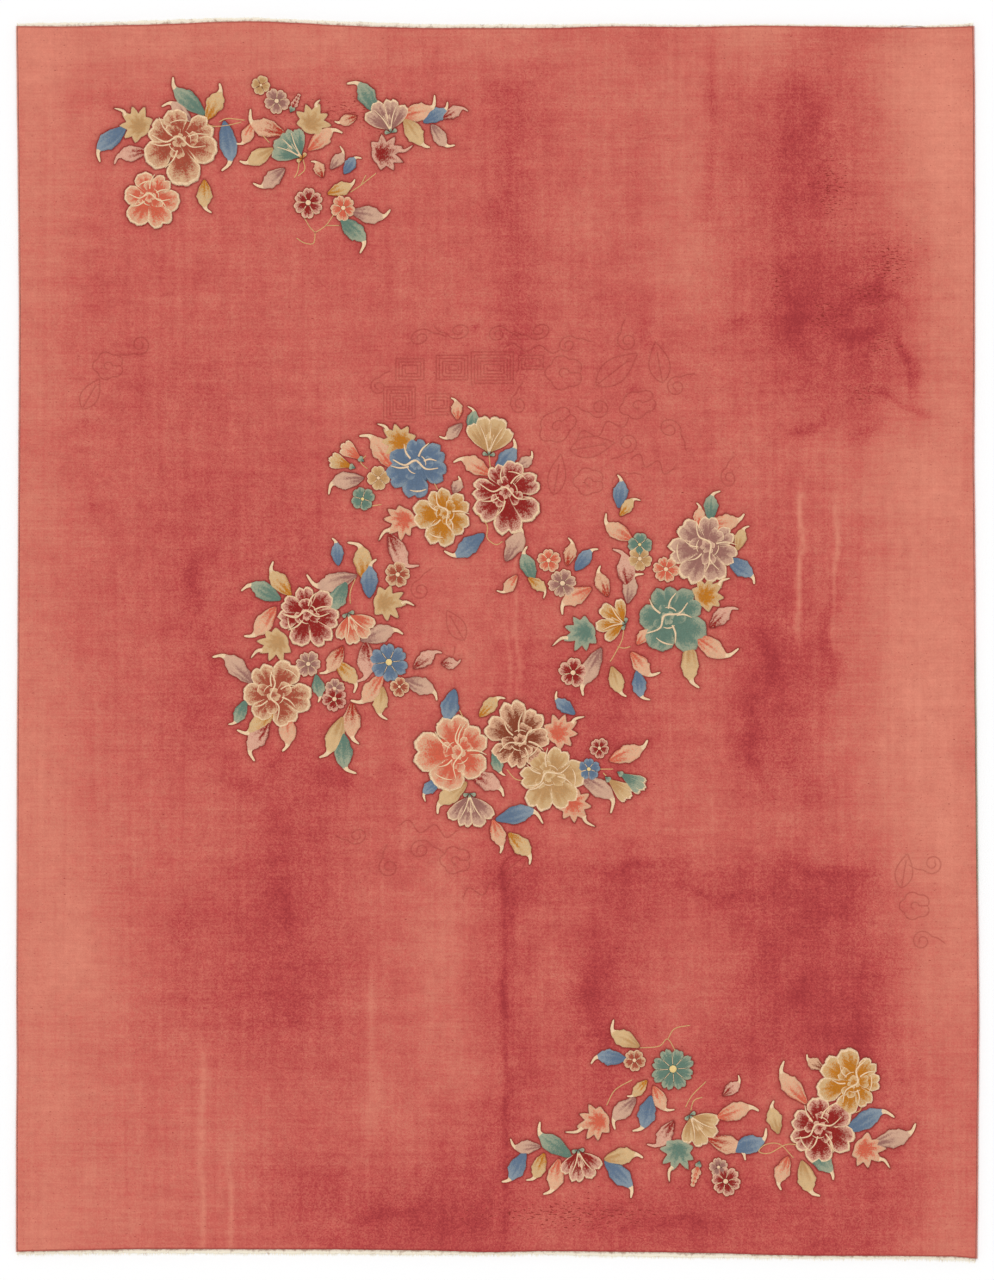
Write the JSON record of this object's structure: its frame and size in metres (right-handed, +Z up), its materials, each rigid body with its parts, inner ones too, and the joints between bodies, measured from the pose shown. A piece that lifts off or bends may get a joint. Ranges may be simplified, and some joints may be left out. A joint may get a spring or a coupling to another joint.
{
  "type": "chinese art deco rug",
  "caption": "Room-size knotted wool rug, coral field with scattered peony and leaf sprays, overcast sides and narrow cotton end webs.",
  "frame": {"origin": "middle of the rug's box, on the underside", "axes": "+Y along the length towards the end with the smaller corner spray, +X across the width, +Z up out of the pile"},
  "size_m": [2.7514, 3.5507, 0.012],
  "materials": {
    "pile_wool": "cut wool pile, matt",
    "side_cord_wool": "overcast wool yarn, matt",
    "end_web_cotton": "undyed cotton, matt"
  },
  "bodies": {
    "root": {"pile": "pile_wool", "left_side_cord": "side_cord_wool", "right_side_cord": "side_cord_wool", "bottom_end_web": "end_web_cotton", "top_end_web": "end_web_cotton"}
  },
  "joints": []
}
